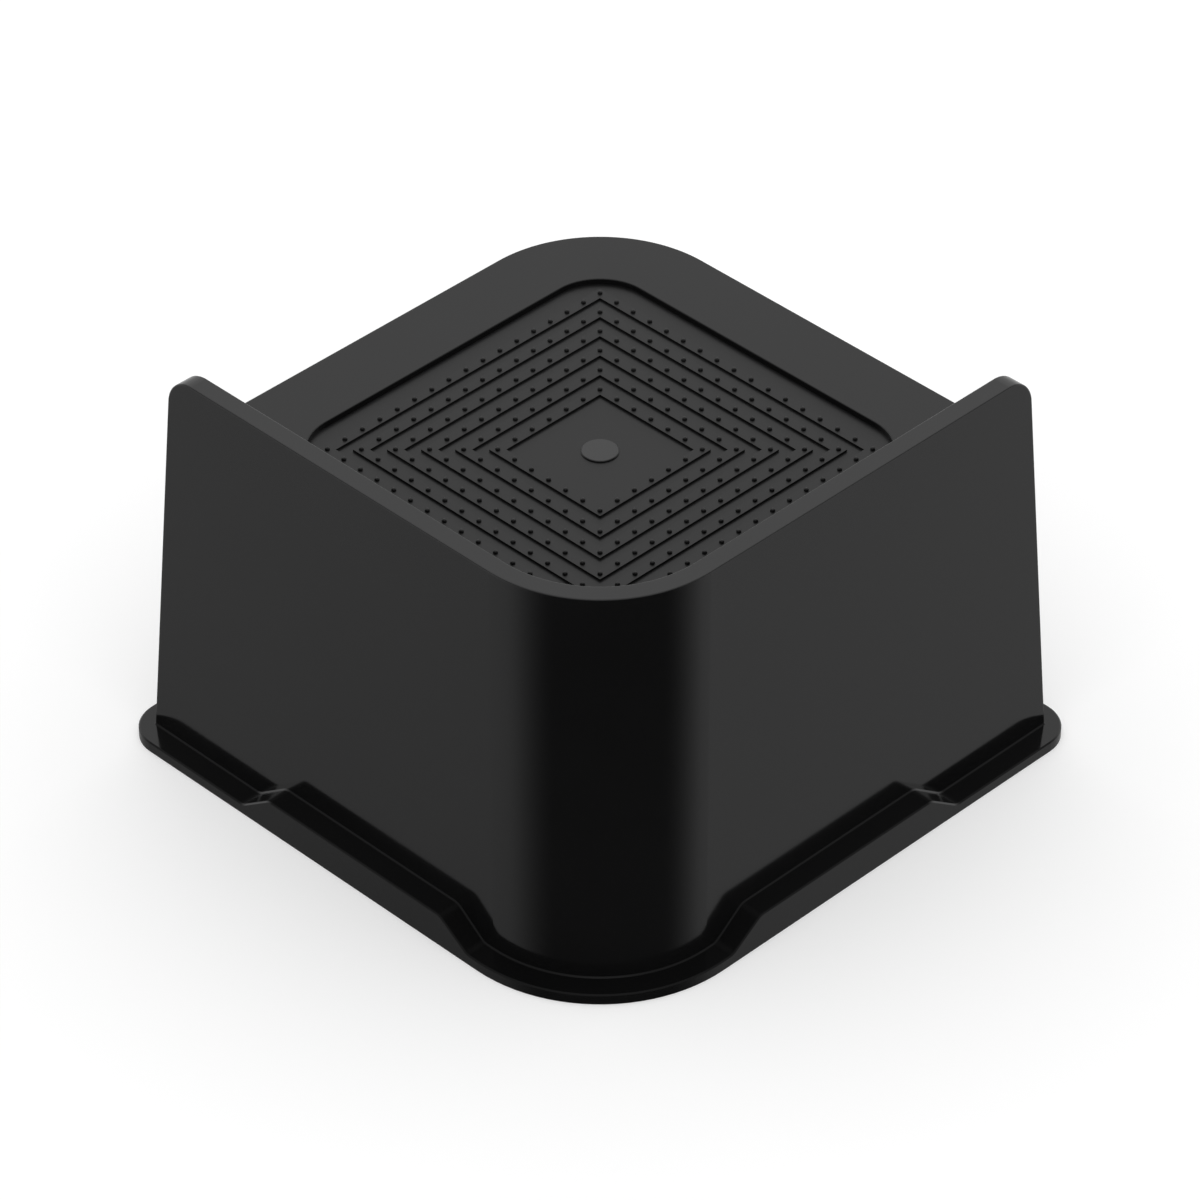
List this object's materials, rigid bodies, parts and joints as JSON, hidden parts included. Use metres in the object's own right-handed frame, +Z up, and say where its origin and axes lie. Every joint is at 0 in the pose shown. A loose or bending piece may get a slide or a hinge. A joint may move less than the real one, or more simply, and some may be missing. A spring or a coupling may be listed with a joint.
{
  "type": "bed riser",
  "caption": "Square tapered block that lifts the leg of a bed, with an L-shaped guard on its platform, a sunken panel of square grip ribs and a flanged base with raised stretches.",
  "frame": {"origin": "middle of the square base, on the floor", "axes": "+Z up from the floor to the platform; the guard stands on the -Y and +X sides, and its rounded corner points to (+X, -Y)"},
  "size_m": [0.1454, 0.1454, 0.0947],
  "materials": {
    "riser": "near-black moulded plastic: satin on the walls and the platform's rim, finely grained and a little duller in the sunken panel"
  },
  "bodies": {
    "root": {"riser": "riser"}
  },
  "joints": []
}
